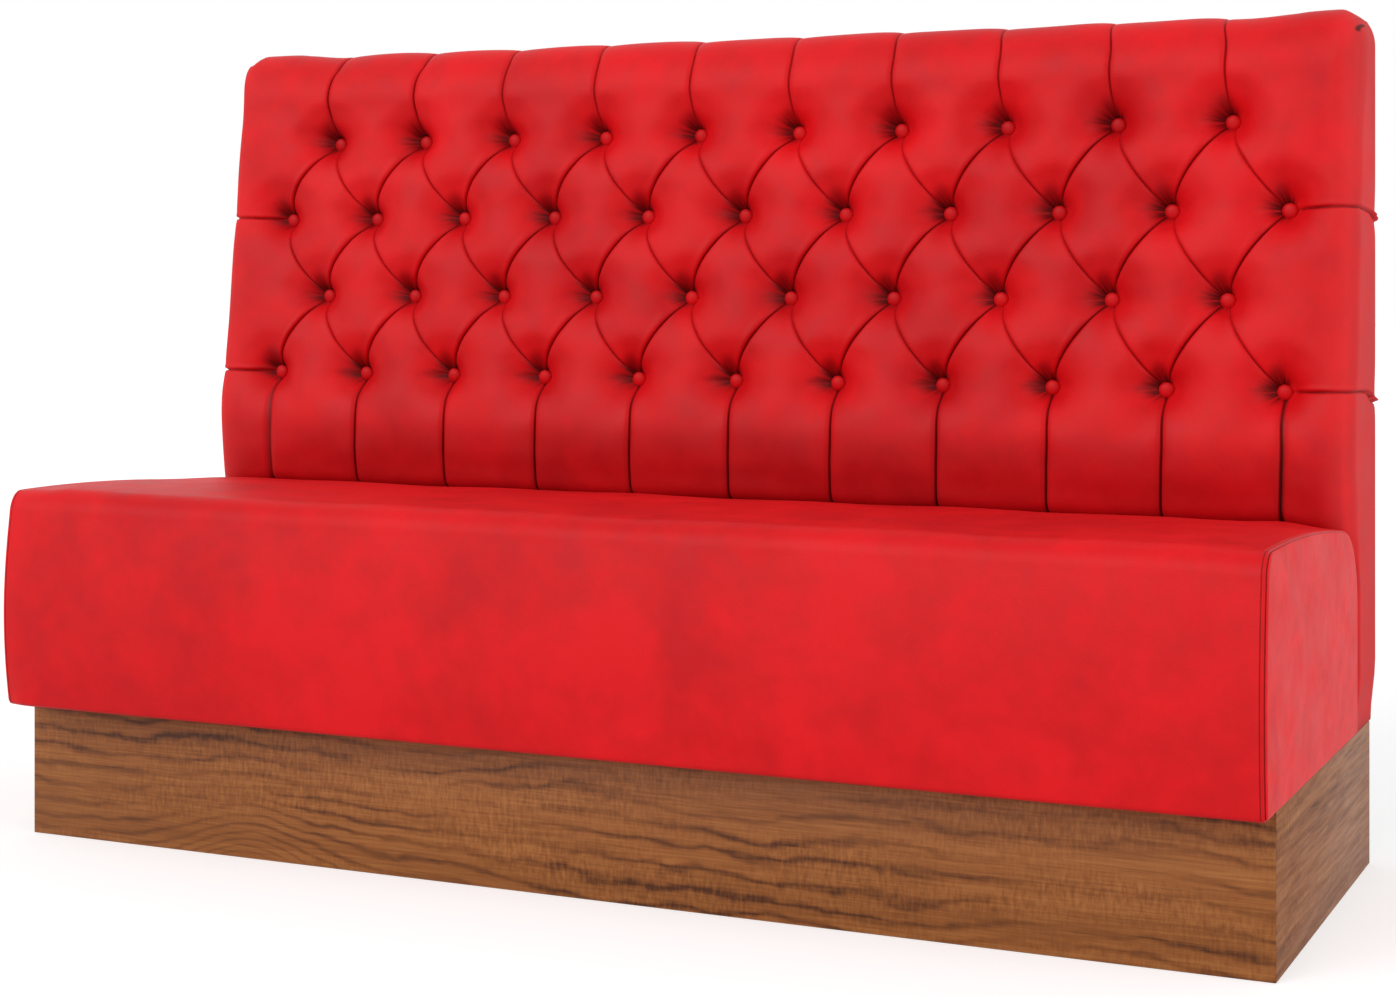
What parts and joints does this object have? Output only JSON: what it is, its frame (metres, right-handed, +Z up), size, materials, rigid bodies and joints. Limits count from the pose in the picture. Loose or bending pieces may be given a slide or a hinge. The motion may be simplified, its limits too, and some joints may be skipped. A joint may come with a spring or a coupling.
{
  "type": "banquette bench",
  "caption": "Straight wall banquette with a raked deep-buttoned back over straight channels, a crowned foam seat block and a recessed wood-faced plinth.",
  "frame": {"origin": "middle of the bench's overall box, on the floor", "axes": "+X along the bench to the sitter's left (the viewer's right), +Y from the seat front towards the wall, +Z up"},
  "size_m": [1.69, 0.6754, 1.1],
  "materials": {
    "red_leathercloth": "smooth low-gloss red upholstery leathercloth",
    "button_leathercloth": "the same leathercloth pulled over button shells",
    "plinth_laminate": "walnut-look board, grain along its length",
    "frame_timber": "bare plywood",
    "foam": "cut upholstery foam",
    "twine": "waxed tufting twine",
    "toggle_plastic": "moulded plastic",
    "glide_plastic": "nail-on nylon glide",
    "dust_cloth": "black non-woven cloth",
    "fixing_steel": "zinc-plated steel"
  },
  "bodies": {
    "root": {"plinth_front_panel": "plinth_laminate", "plinth_left_end_panel": "plinth_laminate", "plinth_right_end_panel": "plinth_laminate", "plinth_rear_rail": "frame_timber", "plinth_left_bearer": "frame_timber", "plinth_centre_bearer": "frame_timber", "plinth_right_bearer": "frame_timber", "plinth_corner_blocks": "frame_timber", "floor_glides": "glide_plastic", "seat_front_rail": "frame_timber", "seat_rear_rail": "frame_timber", "seat_left_end_board": "frame_timber", "seat_right_end_board": "frame_timber", "seat_left_cross_rail": "frame_timber", "seat_right_cross_rail": "frame_timber", "seat_corner_blocks": "frame_timber", "seat_deck": "frame_timber", "seat_foam": "foam", "seat_front_foam": "foam", "seat_cover": "red_leathercloth", "seat_left_end_cap": "red_leathercloth", "seat_right_end_cap": "red_leathercloth", "back_left_end_rib": "frame_timber", "back_outer_left_rib": "frame_timber", "back_inner_left_rib": "frame_timber", "back_inner_right_rib": "frame_timber", "back_outer_right_rib": "frame_timber", "back_right_end_rib": "frame_timber", "back_top_rail": "frame_timber", "back_bottom_rail": "frame_timber", "back_lower_panel": "frame_timber", "back_button_board": "frame_timber", "back_foam_slab": "foam", "back_tufted_cover": "red_leathercloth", "back_buttons_row_1": "button_leathercloth", "back_buttons_row_2": "button_leathercloth", "back_buttons_row_3": "button_leathercloth", "back_buttons_row_4": "button_leathercloth", "button_ties": "twine", "button_toggles": "toggle_plastic", "back_dust_cloth": "dust_cloth", "back_bolts": "fixing_steel", "back_bolt_washers": "fixing_steel", "back_bolt_nuts": "fixing_steel", "seat_fixing_plates": "fixing_steel", "fixing_plate_screws": "fixing_steel"}
  },
  "joints": []
}
